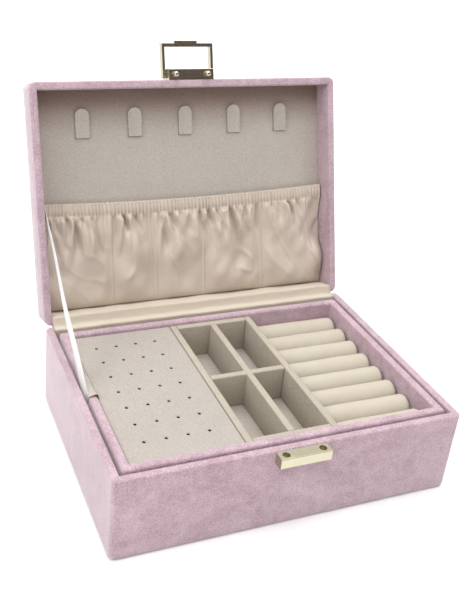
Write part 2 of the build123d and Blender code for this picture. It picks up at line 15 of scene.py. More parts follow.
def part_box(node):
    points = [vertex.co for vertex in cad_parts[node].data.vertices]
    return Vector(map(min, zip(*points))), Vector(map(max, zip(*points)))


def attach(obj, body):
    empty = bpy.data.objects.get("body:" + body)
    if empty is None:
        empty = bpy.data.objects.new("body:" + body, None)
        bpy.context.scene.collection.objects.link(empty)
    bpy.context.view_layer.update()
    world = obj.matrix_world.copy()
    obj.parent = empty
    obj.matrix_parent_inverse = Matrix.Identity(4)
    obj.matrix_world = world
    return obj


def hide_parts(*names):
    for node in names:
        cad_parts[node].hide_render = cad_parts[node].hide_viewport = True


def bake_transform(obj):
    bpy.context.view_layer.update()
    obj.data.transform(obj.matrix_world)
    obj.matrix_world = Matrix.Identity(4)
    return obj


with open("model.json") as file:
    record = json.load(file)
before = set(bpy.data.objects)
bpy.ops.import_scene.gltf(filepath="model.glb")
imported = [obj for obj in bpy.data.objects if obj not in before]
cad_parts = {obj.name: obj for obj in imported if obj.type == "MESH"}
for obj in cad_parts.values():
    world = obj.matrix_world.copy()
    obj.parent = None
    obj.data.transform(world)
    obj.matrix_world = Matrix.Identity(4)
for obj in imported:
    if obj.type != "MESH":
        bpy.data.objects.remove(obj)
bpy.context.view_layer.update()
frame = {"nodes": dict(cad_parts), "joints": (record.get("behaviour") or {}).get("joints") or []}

MM = 0.001

# ---- camera ---------------------------------------------------------------------------
# A small camera, above and to the left of the clasp side. The picture is 474 wide, 600 high.
camera_data = bpy.data.cameras.new("camera")
camera_data.lens = 53.15
camera_data.shift_x = 0.0294
camera_data.shift_y = -0.0544
camera = bpy.data.objects.new("camera", camera_data)
camera.location = (-0.2318, -0.4362, 0.3822)
camera.rotation_euler = [math.radians(turn) for turn in (62.98, -5.41, -22.4)]
bpy.context.scene.collection.objects.link(camera)
bpy.context.scene.camera = camera

# ---- studio ---------------------------------------------------------------------------
# A white table in a white room: a wide softbox over the box, one to its left, one above its
# front, and a dark cloth behind the camera, which the polished clasp mirrors.
FLOOR_HALF = 4.0
FLOOR_COLOUR = (0.93, 0.93, 0.935, 1)
ROOM_COLOUR = (1.0, 0.99, 0.985, 1)
ROOM_LIGHT_LEVEL = 0.15
ROOM_LIGHT_ABOVE = 1.48


def new_material(name):
    """A material with its shader and its node tree."""
    material = bpy.data.materials.new(name)
    material.use_nodes = True
    tree = material.node_tree
    return material, tree, tree.nodes["Principled BSDF"]


def add_object(name, data):
    thing = bpy.data.objects.new(name, data)
    bpy.context.scene.collection.objects.link(thing)
    return thing


bpy.ops.object.select_all(action="DESELECT")
bpy.ops.mesh.primitive_plane_add(size=2 * FLOOR_HALF)
floor = bpy.context.object
floor.name = "floor"
floor_paint, floor_tree, floor_shader = new_material("floor_paint")
floor_shader.inputs["Base Color"].default_value = FLOOR_COLOUR
floor_shader.inputs["Roughness"].default_value = 0.9
floor.data.materials.append(floor_paint)

room = bpy.data.worlds.new("room")
room.use_nodes = True
room_tree = room.node_tree
room_light = room_tree.nodes["Background"]
room_light.inputs["Color"].default_value = ROOM_COLOUR
upward = room_tree.nodes.new("ShaderNodeSeparateXYZ")
room_tree.links.new(room_tree.nodes.new("ShaderNodeTexCoord").outputs["Generated"], upward.inputs[0])
brighter_above = room_tree.nodes.new("ShaderNodeMapRange")
brighter_above.inputs["To Min"].default_value = ROOM_LIGHT_LEVEL
brighter_above.inputs["To Max"].default_value = ROOM_LIGHT_ABOVE
room_tree.links.new(upward.outputs["Z"], brighter_above.inputs["Value"])
seen_room = room_tree.nodes.new("ShaderNodeMix")
seen_room.inputs[3].default_value = 1.0
room_tree.links.new(room_tree.nodes.new("ShaderNodeLightPath").outputs["Is Camera Ray"], seen_room.inputs[0])
room_tree.links.new(brighter_above.outputs["Result"], seen_room.inputs[2])
room_tree.links.new(seen_room.outputs[0], room_light.inputs["Strength"])
bpy.context.scene.world = room
bpy.context.scene.view_settings.view_transform = "Standard"


def softbox(name, place, target, size, power):
    """A square lamp with a soft edge to its shadows, turned to its target."""
    lamp = bpy.data.lights.new(name, "AREA")
    lamp.size = size
    lamp.energy = power
    light = add_object(name, lamp)
    light.location = place
    light.rotation_euler = (Vector(target) - Vector(place)).to_track_quat("-Z", "Y").to_euler()


softbox("overhead", (0.0, 0.35, 1.6), (0, 0, 0), 1.3, 15.5)
softbox("left", (-1.3, -0.25, 0.95), (0, 0, 0.1), 0.7, 6.2)
softbox("front", (-0.1, -0.75, 1.4), (0, 0, 0.05), 0.5, 3.4)

bpy.ops.mesh.primitive_plane_add(size=1, location=(0.9, -2.2, 1.0), rotation=(math.radians(90), 0, 0))
dark_cloth = bpy.context.object
dark_cloth.name = "dark_cloth"
dark_cloth.scale = (3.4, 1.6, 1)
dark_paint, dark_tree, dark_shader = new_material("dark_paint")
dark_shader.inputs["Base Color"].default_value = (0.12, 0.082, 0.1, 1)
dark_cloth.data.materials.append(dark_paint)
dark_cloth.visible_camera = False
dark_cloth.visible_diffuse = False
dark_cloth.visible_shadow = False

# ---- velvet over the base -------------------------------------------------------------
# One sheet of short-pile velvet, glued round the base: turned under it, up the outside, over
# the rim and down inside. Its diagonal tucks at the corners of the rim are not modelled.
TINY = 0.02 * MM
WALL = 5.2 * MM
RIM_R = 1.2 * MM
OUTER_EDGE_R = 3.0 * MM
BASE_CORNER_R = 3.5 * MM
SMOOTH_ANGLE = math.radians(40)


def edit():
    bpy.ops.object.mode_set(mode="EDIT")


def leave():
    bpy.ops.object.mode_set(mode="OBJECT")


def pick_faces(test):
    """In edit mode, select the faces whose middle and normal pass the test."""
    bpy.ops.mesh.select_all(action="DESELECT")
    bpy.ops.mesh.select_mode(type="FACE")
    shape = bmesh.from_edit_mesh(bpy.context.edit_object.data)
    for face in shape.faces:
        if test(face.calc_center_median(), face.normal):
            face.select_set(True)
    bmesh.update_edit_mesh(bpy.context.edit_object.data)


def pick_edges(test):
    """In edit mode, select the edges whose two ends pass the test."""
    bpy.ops.mesh.select_all(action="DESELECT")
    bpy.ops.mesh.select_mode(type="EDGE")
    shape = bmesh.from_edit_mesh(bpy.context.edit_object.data)
    for edge in shape.edges:
        if test(edge.verts[0].co, edge.verts[1].co):
            edge.select_set(True)
    bmesh.update_edit_mesh(bpy.context.edit_object.data)


def block(name, low, high):
    """A plain block between two corners, the start of a piece."""
    low, high = Vector(low), Vector(high)
    bpy.ops.object.select_all(action="DESELECT")
    bpy.ops.mesh.primitive_cube_add(size=1, location=(low + high) / 2, scale=high - low)
    bpy.ops.object.transform_apply()
    piece = bpy.context.object
    piece.name = piece.data.name = name
    return piece


def round_edges(radius, segments):
    bpy.ops.mesh.bevel(offset=radius, segments=segments, affect="EDGES")


def cut_away(piece, cutter):
    """Cut one shape out of another and throw the cutter away."""
    cut = piece.modifiers.new("cut", "BOOLEAN")
    cut.operation = "DIFFERENCE"
    cut.solver = "EXACT"
    cut.object = cutter
    bpy.ops.object.select_all(action="DESELECT")
    piece.select_set(True)
    bpy.context.view_layer.objects.active = piece
    bpy.ops.object.modifier_apply(modifier="cut")
    bpy.data.objects.remove(cutter)


def open_box(name, low, high, wall, floor, corner_r, lower_r, rim_r):
    """A box with its hollow open at the top, every outer edge and the rim rounded."""
    low, high = Vector(low), Vector(high)
    piece = block(name, low, high)
    edit()
    pick_edges(lambda a, b: abs(a.z - b.z) > wall)
    round_edges(corner_r, 6)
    pick_edges(lambda a, b: max(a.z, b.z) < low.z + TINY)
    round_edges(lower_r, 4)
    pick_edges(lambda a, b: min(a.z, b.z) > high.z - TINY)
    round_edges(rim_r, 4)
    leave()

    # the hollow flares out at its top in a quarter round, which leaves the rim's inner edge
    inside = Vector((wall, wall, 0))
    hollow = block("hollow", (low + inside).to_tuple()[:2] + (floor,), high - inside - Vector((0, 0, rim_r)))
    half = (high - low) / 2 - inside
    edit()
    flare = [(rim_r * (1 - math.cos(t)), rim_r * math.sin(t)) for t in (n * math.pi / 8 for n in range(5))]
    flare.append((rim_r, rim_r + MM))
    for (spread, rise), (next_spread, next_rise) in zip(flare, flare[1:]):
        pick_faces(lambda mid, normal: normal.z > 0.9)
        bpy.ops.mesh.extrude_region_move(TRANSFORM_OT_translate={"value": (0, 0, next_rise - rise)})
        growth = [(side + next_spread) / (side + spread) for side in half[:2]]
        bpy.ops.transform.resize(value=(*growth, 1))
    leave()
    cut_away(piece, hollow)
    return piece


def smooth(piece, angle=SMOOTH_ANGLE):
    """Shade a piece smooth, with its sharp edges kept."""
    bpy.ops.object.select_all(action="DESELECT")
    piece.select_set(True)
    bpy.context.view_layer.objects.active = piece
    bpy.ops.object.shade_smooth_by_angle(angle=angle)


def fit(piece, material, body, slot, *nodes):
    """Give a finished piece its material, its body and the nodes it stands for; its slot is not used."""
    piece.data.materials.clear()
    piece.data.materials.append(material)
    if body:
        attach(piece, body)
    if nodes:
        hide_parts(*nodes)


def socket(tree, name, kind, way="INPUT", value=None):
    """A named input or output of a node group."""
    made = tree.interface.new_socket(name=name, in_out=way, socket_type=kind)
    if value is not None:
        made.default_value = value


def maths(tree, operation, first, second, third=None, clamp=False):
    """A math node on sockets or plain numbers."""
    node = tree.nodes.new("ShaderNodeMath")
    node.operation = operation
    node.use_clamp = clamp
    for slot_number, value in enumerate((first, second, third)):
        if isinstance(value, bpy.types.NodeSocket):
            tree.links.new(value, node.inputs[slot_number])
        elif value is not None:
            node.inputs[slot_number].default_value = value
    return node.outputs[0]


def speckle(tree, vector, scale, detail, roughness, distortion=0.0):
    """A noise texture whose size may come from a group's input."""
    node = tree.nodes.new("ShaderNodeTexNoise")
    node.inputs["Detail"].default_value = detail
    node.inputs["Roughness"].default_value = roughness
    node.inputs["Distortion"].default_value = distortion
    tree.links.new(vector, node.inputs["Vector"])
    if isinstance(scale, bpy.types.NodeSocket):
        tree.links.new(scale, node.inputs["Scale"])
    else:
        node.inputs["Scale"].default_value = scale
    return node.outputs["Fac"]


def make_nap():
    """Nap: cloth hair that lies this way and that, in patches brushed by hand, over fine grain."""
    group = bpy.data.node_groups.new("nap", "ShaderNodeTree")
    socket(group, "Deep", "NodeSocketColor")
    socket(group, "Light", "NodeSocketColor")
    socket(group, "Patches per metre", "NodeSocketFloat", value=40.0)
    socket(group, "Grain per metre", "NodeSocketFloat", value=800.0)
    socket(group, "Patch share", "NodeSocketFloat", value=0.5)
    socket(group, "Grain share", "NodeSocketFloat", value=0.5)
    socket(group, "Color", "NodeSocketColor", "OUTPUT")
    socket(group, "Height", "NodeSocketFloat", "OUTPUT")
    given = group.nodes.new("NodeGroupInput").outputs
    place = group.nodes.new("ShaderNodeTexCoord").outputs["Object"]
    patches = speckle(group, place, given["Patches per metre"], 4.0, 0.6, 1.2)
    strokes_scale = maths(group, "MULTIPLY", given["Patches per metre"], 5.0)
    strokes = speckle(group, place, strokes_scale, 3.0, 0.65, 0.6)
    grain = speckle(group, place, given["Grain per metre"], 3.0, 0.75)
    low = maths(group, "SUBTRACT", patches, 0.5)
    middle = maths(group, "SUBTRACT", strokes, 0.5)
    broad = maths(group, "MULTIPLY_ADD", middle, 0.6, low)
    fine = maths(group, "SUBTRACT", grain, 0.5)
    from_patches = maths(group, "MULTIPLY", broad, given["Patch share"])
    from_grain = maths(group, "MULTIPLY", fine, given["Grain share"])
    total = maths(group, "ADD", from_patches, from_grain)
    share = maths(group, "MULTIPLY_ADD", total, 3.0, 0.5, clamp=True)
    mix = group.nodes.new("ShaderNodeMix")
    mix.data_type = "RGBA"
    group.links.new(share, mix.inputs["Factor"])
    group.links.new(given["Deep"], mix.inputs[6])
    group.links.new(given["Light"], mix.inputs[7])
    height = maths(group, "MULTIPLY_ADD", broad, 0.5, grain)
    out = group.nodes.new("NodeGroupOutput").inputs
    group.links.new(mix.outputs[2], out["Color"])
    group.links.new(height, out["Height"])
    return group


nap = make_nap()


def relief(tree, shader, height, distance, strength=1.0):
    """Raise the surface by a height, as a bump."""
    bump = tree.nodes.new("ShaderNodeBump")
    bump.inputs["Distance"].default_value = distance
    bump.inputs["Strength"].default_value = strength
    tree.links.new(height, bump.inputs["Height"])
    tree.links.new(bump.outputs["Normal"], shader.inputs["Normal"])


def napped_cloth(name, deep, light, patches, grain, patch_share, grain_share, bump, sheen, tint):
    """Velvet, suede or felt: the nap's colour and relief, and a soft sheen at the edges."""
    material, tree, shader = new_material(name)
    hair = tree.nodes.new("ShaderNodeGroup")
    hair.node_tree = nap
    hair.inputs["Deep"].default_value = (*deep, 1)
    hair.inputs["Light"].default_value = (*light, 1)
    hair.inputs["Patches per metre"].default_value = patches
    hair.inputs["Grain per metre"].default_value = grain
    hair.inputs["Patch share"].default_value = patch_share
    hair.inputs["Grain share"].default_value = grain_share
    tree.links.new(hair.outputs["Color"], shader.inputs["Base Color"])
    relief(tree, shader, hair.outputs["Height"], bump)
    shader.inputs["Roughness"].default_value = 0.95
    shader.inputs["Specular IOR Level"].default_value = 0.15
    shader.inputs["Sheen Weight"].default_value = sheen
    shader.inputs["Sheen Roughness"].default_value = 0.35
    shader.inputs["Sheen Tint"].default_value = (*tint, 1)
    return material


VELVET_DEEP = (0.345, 0.235, 0.272)
VELVET_LIGHT = (0.575, 0.437, 0.488)
velvet = napped_cloth(
    "velvet", VELVET_DEEP, VELVET_LIGHT, 34.0, 1150.0, 0.44, 1.1, 0.35 * MM, 1.0, (1.0, 0.95, 0.98)
)

wrap_low, wrap_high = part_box("base_velvet_wrap")
board_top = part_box("base_bottom_board")[1].z
base_velvet = open_box(
    "base_velvet", wrap_low, wrap_high, WALL, board_top - 0.1 * MM, BASE_CORNER_R, OUTER_EDGE_R, RIM_R
)

# the turned-under edge stops short of the underside cover, which lies in the step
cover_low, cover_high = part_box("base_underside_cover")
step = (wrap_high.x - cover_high.x) - OUTER_EDGE_R - 0.2 * MM
edit()
pick_faces(lambda mid, normal: normal.z < -0.99 and mid.z < wrap_low.z + TINY)
bpy.ops.mesh.inset(thickness=step)
bpy.ops.mesh.extrude_region_move(TRANSFORM_OT_translate={"value": (0, 0, 0.5 * MM)})
leave()
smooth(base_velvet)
fit(base_velvet, velvet, "base", "pink_velvet", "base_velvet_wrap")

# ---- velvet over the lid --------------------------------------------------------------
# The lid is a shallow tray of the same boards, wrapped the same way, with rounder corners.
# It is shaped rim up, then turned over and swung open about the hinge.
LID_CORNER_R = 4.5 * MM
LID_HEIGHT = 24.2 * MM
PANEL_FACE = 17.6 * MM
PANEL_BACK = 19.6 * MM
joints = {joint["name"]: joint for joint in frame["joints"]}
hinge_point = Vector(joints["lid_hinge"]["pos_m"])
open_angle = -math.radians(joints["lid_hinge"]["range_deg"][0])
closed_rim = 2 * hinge_point.z - wrap_high.z
to_hinge = Matrix.Translation(hinge_point)
lid_frame = (
    to_hinge
    @ Matrix.Rotation(-open_angle, 4, "X")
    @ to_hinge.inverted()
    @ Matrix.Translation((0, 0, closed_rim))
)


def put(piece, placing):
    """Place a piece by a frame and leave its object at the origin."""
    piece.matrix_world = placing
    bpy.ops.object.select_all(action="DESELECT")
    piece.select_set(True)
    bpy.context.view_layer.objects.active = piece
    bpy.ops.object.transform_apply()


half_x, half_y = wrap_high.x, wrap_high.y
lid_velvet = open_box(
    "lid_velvet",
    (-half_x, -half_y, -LID_HEIGHT),
    (half_x, half_y, 0),
    WALL,
    -PANEL_BACK - 0.05 * MM,
    LID_CORNER_R,
    OUTER_EDGE_R,
    RIM_R,
)
smooth(lid_velvet)
put(lid_velvet, lid_frame @ Matrix.Rotation(math.pi, 4, "X"))
fit(lid_velvet, velvet, "lid", "pink_velvet", "lid_velvet_wrap")

# ---- lined lower compartment ----------------------------------------------------------
# Four thick boards stand against the walls and carry the tray. They and the floor are
# covered in beige suede cloth, folded round their edges.
BOARD_EDGE_R = 0.9 * MM
SUEDE_DEEP = (0.355, 0.318, 0.28)
SUEDE_LIGHT = (0.52, 0.475, 0.43)
suede = napped_cloth(
    "suede", SUEDE_DEEP, SUEDE_LIGHT, 22.0, 1100.0, 0.12, 0.75, 0.2 * MM, 0.16, (1.0, 0.96, 0.9)
)


def covered_board(name, low, high, edge_r):
    """A board in cloth, its edges rounded by the cloth's thickness."""
    piece = block(name, low, high)
    edit()
    bpy.ops.mesh.select_all(action="SELECT")
    round_edges(edge_r, 3)
    leave()
    smooth(piece)
    return piece


inner_x = wrap_high.x - WALL
inner_y = wrap_high.y - WALL
for side in ("front", "back", "left", "right"):
    node = f"lower_{side}_liner"
    low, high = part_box(node)
    low = Vector((max(low.x, -inner_x), max(low.y, -inner_y), low.z))
    high = Vector((min(high.x, inner_x), min(high.y, inner_y), high.z))
    fit(covered_board(f"{side}_liner", low, high, BOARD_EDGE_R), suede, "base", "beige_suede", node)

lining_low, lining_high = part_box("lower_floor_lining")
lining = covered_board("floor_lining", lining_low, lining_high, 0.3 * MM)
fit(lining, suede, "base", "beige_suede", "lower_floor_lining")

# ---- velvet over the tray -------------------------------------------------------------
# The lift-out tray stands on the liner boards. Its walls are wrapped in the same velvet,
# with a fuller, rounder rim than the box.
TRAY_RIM_R = 1.8 * MM
TRAY_CORNER_R = 2.0 * MM
TRAY_WALL = 5.7 * MM
tray_low, tray_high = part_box("tray_velvet_wrap")
tray_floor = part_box("tray_floor_board")[1].z
tray_velvet = open_box(
    "tray_velvet",
    tray_low,
    tray_high,
    TRAY_WALL,
    tray_floor - 0.1 * MM,
    TRAY_CORNER_R,
    1.0 * MM,
    TRAY_RIM_R,
)
smooth(tray_velvet)
fit(tray_velvet, velvet, "tray", "pink_velvet", "tray_velvet_wrap")

# ---- earring pad ----------------------------------------------------------------------
# A foam board in suede cloth, wedged in the left of the tray. Its four columns of seven
# holes take earring posts, and the cloth dips a little into each.
PAD_EDGE_R = 1.4 * MM
PAD_CORNER_R = 1.6 * MM
POST_HOLE_R = 1.0 * MM
POST_DIP_R = 1.4 * MM
POST_DIP = 0.35 * MM
POST_DEPTH = 9.0 * MM
POST_CLOTH = 0.7 * MM
POST_COLUMNS = 4
POST_ROWS = 7
POST_PITCH_X = 13.75 * MM
POST_PITCH_Y = 17.1 * MM
POST_SHIFT = 1.0 * MM
pad_low, pad_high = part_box("earring_pad")
pad_middle = (pad_low + pad_high) / 2

pad = block("earring_pad_cloth", pad_low, pad_high)
edit()
pick_edges(lambda a, b: abs(a.z - b.z) > MM)
round_edges(PAD_CORNER_R, 4)
pick_edges(lambda a, b: min(a.z, b.z) > pad_high.z - TINY)
round_edges(PAD_EDGE_R, 5)
pick_faces(lambda mid, normal: normal.z > 0.999)
bpy.ops.mesh.inset(thickness=0.1 * MM)
leave()

bpy.ops.object.select_all(action="DESELECT")
bpy.ops.mesh.primitive_cylinder_add(
    vertices=20, radius=POST_HOLE_R, depth=POST_DEPTH, location=(0, 0, -POST_DEPTH / 2)
)
awl = bpy.context.object
bpy.ops.object.transform_apply()
edit()
pick_faces(lambda mid, normal: normal.z > 0.9)
bpy.ops.transform.translate(value=(0, 0, -POST_DIP))
bpy.ops.mesh.extrude_region_move(TRANSFORM_OT_translate={"value": (0, 0, POST_DIP)})
bpy.ops.transform.resize(value=(POST_DIP_R / POST_HOLE_R, POST_DIP_R / POST_HOLE_R, 1))
bpy.ops.mesh.extrude_region_move(TRANSFORM_OT_translate={"value": (0, 0, MM)})
leave()
first_hole = pad_middle - Vector(
    (
        POST_SHIFT + (POST_COLUMNS - 1) / 2 * POST_PITCH_X,
        (POST_ROWS - 1) / 2 * POST_PITCH_Y - POST_SHIFT,
        pad_middle.z - pad_high.z,
    )
)
awl.location = first_hole
bpy.ops.object.transform_apply()
for name, count, step in (
    ("columns", POST_COLUMNS, (POST_PITCH_X, 0, 0)),
    ("rows", POST_ROWS, (0, POST_PITCH_Y, 0)),
):
    repeat = awl.modifiers.new(name, "ARRAY")
    repeat.count = count
    repeat.use_relative_offset = False
    repeat.use_constant_offset = True
    repeat.constant_offset_displace = step
    bpy.ops.object.modifier_apply(modifier=name)
cut_away(pad, awl)
smooth(pad, math.radians(30))

def suede_by_height(name):
    """A copy of the suede, with its colour and the height above the table to change it by."""
    material = suede.copy()
    material.name = name
    tree = material.node_tree
    shader = tree.nodes["Principled BSDF"]
    cloth_colour = shader.inputs["Base Color"].links[0].from_socket
    axes = tree.nodes.new("ShaderNodeSeparateXYZ")
    tree.links.new(tree.nodes.new("ShaderNodeTexCoord").outputs["Object"], axes.inputs[0])
    mix = tree.nodes.new("ShaderNodeMix")
    mix.data_type = "RGBA"
    tree.links.new(mix.outputs[2], shader.inputs["Base Color"])
    return material, tree, mix, cloth_colour, axes.outputs["Z"]


# painted shade in the holes: below its cloth the pad is coloured near black, so the earring holes show dark
HOLE_SHADE_COLOUR = (0.02, 0.018, 0.016, 1)
pad_suede, pad_tree, pad_mix, pad_colour, pad_height = suede_by_height("pad_suede")
# painted shade: the pad's suede is a darker copy of the suede, toning down the light from above on the pad
pad_colour.node.inputs["Deep"].default_value = (0.315, 0.283, 0.252, 1)
pad_colour.node.inputs["Light"].default_value = (0.46, 0.422, 0.385, 1)
in_cloth = maths(pad_tree, "GREATER_THAN", pad_height, pad_high.z - POST_CLOTH)
pad_mix.inputs[6].default_value = HOLE_SHADE_COLOUR
pad_tree.links.new(pad_colour, pad_mix.inputs[7])
pad_tree.links.new(in_cloth, pad_mix.inputs["Factor"])
fit(pad, pad_suede, "tray", "beige_suede", "earring_pad")

# ---- divider insert -------------------------------------------------------------------
# Thin boards in a darker suede cloth: a frame of four, and two dividers halved over each
# other, which make four cells. The cross divider's top is a hair lower than the long one's.
CROSS_DROP = 0.15 * MM
BOARD_DEEP = (0.32, 0.278, 0.222)
BOARD_LIGHT = (0.50, 0.452, 0.382)
board_suede = napped_cloth(
    "board_suede", BOARD_DEEP, BOARD_LIGHT, 30.0, 1100.0, 0.12, 0.75, 0.2 * MM, 0.16, (1.0, 0.96, 0.9)
)
insert_nodes = [f"insert_{side}_wall" for side in ("left", "right", "front", "back")]
insert_nodes += ["insert_long_divider", "insert_cross_divider"]
for node in insert_nodes:
    low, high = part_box(node)
    if node == "insert_cross_divider":
        high.z -= CROSS_DROP
    board = covered_board(node.replace("insert", "cell"), low, high, BOARD_EDGE_R)
    fit(board, board_suede, "tray", "beige_suede", node)

# ---- ring rolls -----------------------------------------------------------------------
# Eight foam rolls in soft cream cloth lie side by side, glued at their left ends and a little
# taller than wide. Rings push down between them. No two are quite alike.
ROLL_END_R = 3.0 * MM
ROLL_STEPS = 20
ROLL_UNEVEN = 0.3 * MM
ROLL_DEEP = (0.44, 0.395, 0.32)
ROLL_LIGHT = (0.53, 0.485, 0.41)
roll_cloth = napped_cloth(
    "roll_cloth",
    ROLL_DEEP,
    ROLL_LIGHT,
    40.0,
    1500.0,
    0.2,
    0.35,
    0.08 * MM,
    0.3,
    (1.0, 0.97, 0.88),
)
for number in range(1, 9):
    node = f"ring_roll_{number}"
    low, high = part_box(node)
    radius, length = (high.y - low.y) / 2, high.x - low.x
    middle = Vector(((low.x + high.x) / 2, (low.y + high.y) / 2, low.z + radius))
    rise = (high.z - low.z) / (2 * radius)
    bpy.ops.object.select_all(action="DESELECT")
    bpy.ops.mesh.primitive_cylinder_add(
        vertices=48, radius=radius, depth=length, location=middle, rotation=(0, math.pi / 2, 0)
    )
    roll = bpy.context.object
    roll.name = roll.data.name = f"roll_{number}"
    bpy.ops.object.transform_apply()
    edit()
    for step in range(1, ROLL_STEPS):
        bpy.ops.mesh.select_all(action="SELECT")
        cut_x = low.x + length * step / ROLL_STEPS
        bpy.ops.mesh.bisect(plane_co=(cut_x, 0, 0), plane_no=(1, 0, 0))
    pick_edges(lambda a, b: min(a.x, b.x) > high.x - TINY)
    round_edges(ROLL_END_R, 5)
    pick_edges(lambda a, b: max(a.x, b.x) < low.x + TINY)
    round_edges(1.2 * MM, 3)
    pick_faces(lambda mid, normal: normal.x > 0.99 and mid.x > high.x - TINY)
    bpy.ops.mesh.inset(thickness=2.0 * MM)
    bpy.ops.mesh.inset(thickness=2.2 * MM, depth=-0.5 * MM)
    leave()
    for point in roll.data.vertices:
        from_axis = Vector((0, point.co.y - middle.y, point.co.z - middle.z))
        lump = noise.noise(Vector((point.co.x * 45, point.co.y * 60, number * 3.7 + point.co.z * 60)))
        point.co -= from_axis.normalized() * ROLL_UNEVEN * (0.5 + lump) * (from_axis.length / radius)
        point.co.z = low.z + (point.co.z - low.z) * rise
    smooth(roll)
    fit(roll, roll_cloth, "tray", "roll_cloth", node)

# ---- necklace tabs --------------------------------------------------------------------
# Five stiff tongues in suede cloth. Each comes through a slit in the lid's lining panel and
# lies on it, free at its round end, with a line of pressed edging.
TAB_WIDTH = 10.0 * MM
TAB_LENGTH = 20.3 * MM
TAB_THICK = 1.2 * MM
TAB_PITCH = 38.3 * MM
TAB_INSET = 12.9 * MM
TAB_FACE = PANEL_FACE - 0.4 * MM
TAB_SPRING = 0.9 * MM
tab_end = -inner_y + TAB_INSET
tab_root = tab_end + TAB_LENGTH
for number in range(1, 6):
    tab_x = (number - 3) * TAB_PITCH
    tab = block(
        f"tab_{number}",
        (tab_x - TAB_WIDTH / 2, tab_end, TAB_FACE - TAB_THICK),
        (tab_x + TAB_WIDTH / 2, tab_root, TAB_FACE),
    )
    edit()
    pick_edges(lambda a, b: abs(a.z - b.z) > MM and a.y < tab_end + TINY)
    round_edges(TAB_WIDTH / 2 - 0.05 * MM, 8)
    pick_faces(lambda mid, normal: normal.z < -0.9)
    bpy.ops.mesh.inset(thickness=0.8 * MM)
    bpy.ops.mesh.inset(thickness=0.3 * MM, depth=-0.15 * MM)
    for step in range(1, 8):
        bpy.ops.mesh.select_all(action="SELECT")
        bpy.ops.mesh.bisect(plane_co=(0, tab_end + TAB_LENGTH * step / 8, 0), plane_no=(0, 1, 0))
    pick_faces(lambda mid, normal: mid.y > tab_root - TINY)
    bpy.ops.mesh.extrude_region_move(TRANSFORM_OT_translate={"value": (0, 0.2 * MM, 1.6 * MM)})
    leave()
    for point in tab.data.vertices:
        free = max(0.0, (tab_root - point.co.y) / TAB_LENGTH)
        point.co.z -= TAB_SPRING * free**2
    bevel = tab.modifiers.new("cloth_edge", "BEVEL")
    bevel.width = 0.3 * MM
    bevel.segments = 2
    bevel.limit_method = "ANGLE"
    bevel.angle_limit = math.radians(50)
    bpy.context.view_layer.objects.active = tab
    bpy.ops.object.modifier_apply(modifier="cloth_edge")
    smooth(tab)
    put(tab, lid_frame)
    fit(tab, suede, "lid", "beige_suede", f"necklace_tab_{number}")

# ---- gathered pocket ------------------------------------------------------------------
# A strip of thin satin, about a quarter longer than the pocket is wide, sewn along its foot
# and down four seams. Its top is turned over an elastic, which gathers it into fine ruffles.
random.seed(11)
POCKET_HALF = 109.0 * MM
POCKET_FOOT = inner_y - 0.7 * MM
CASING = 8.0 * MM
CASING_STAND = 4.3 * MM
RUFFLE = 2.7 * MM
RUFFLE_DEPTH = 1.0 * MM
SEAMS = (-62.0 * MM, -28.5 * MM, 9.0 * MM, 56.5 * MM)
BILLOW_DEPTH = 1.9 * MM
WAVE_DEPTH = 4.9 * MM
CRUMPLE_DEPTH = 2.1 * MM
FOLD_LINE_DEPTH = 1.1 * MM
FULLER_RIGHT = 0.45
SEAM_RIDGE = 0.95 * MM
LONG_FOLDS = 56
POCKET_COLUMNS = 460
POCKET_ROWS = 76
POCKET_CUT = (0.27, 0.10)


def sag(x):
    """How far the pocket's top is from the hinge edge: least between the ends."""
    side = x / POCKET_HALF
    return (79.7 + 2.85 * side * side + 0.65 * side) * MM


def bump_at(distance, width):
    return math.exp(-((distance / width) ** 2))


long_folds = [
    (
        random.uniform(-105, 105) * MM,
        random.uniform(1.0, 2.2) * MM,
        random.uniform(9, 36) * MM,
        random.uniform(1.2, 3.0) * MM,
        random.uniform(-0.3, 0.3),
    )
    for _ in range(LONG_FOLDS)
]


def ruffle(x):
    """The gathers, of uneven width, from -1 in a valley to 1 on a crest."""
    wander = 2.4 * noise.noise(Vector((x / (9 * MM), 0.3, 5.1)))
    swell = 0.75 + 0.5 * noise.noise(Vector((x / (6 * MM), 8.2, 0.4)))
    return swell * math.sin(2 * math.pi * x / RUFFLE + wander)


def ruffle_reach(x):
    """How far down from the casing a gather runs before it smooths out."""
    return (3.8 + 9.0 * abs(noise.noise(Vector((x / (3.4 * MM), 2.0, 9.0))))) * MM


def billow(x):
    """How full the pocket is between two seams, from 0 at a seam to 1 halfway."""
    lines = (-POCKET_HALF, *SEAMS, POCKET_HALF)
    near = max(line for line in lines[:-1] if line <= max(x, -POCKET_HALF))
    far = lines[lines.index(near) + 1]
    return max(0.0, math.sin(math.pi * (x - near) / (far - near))) ** 0.7


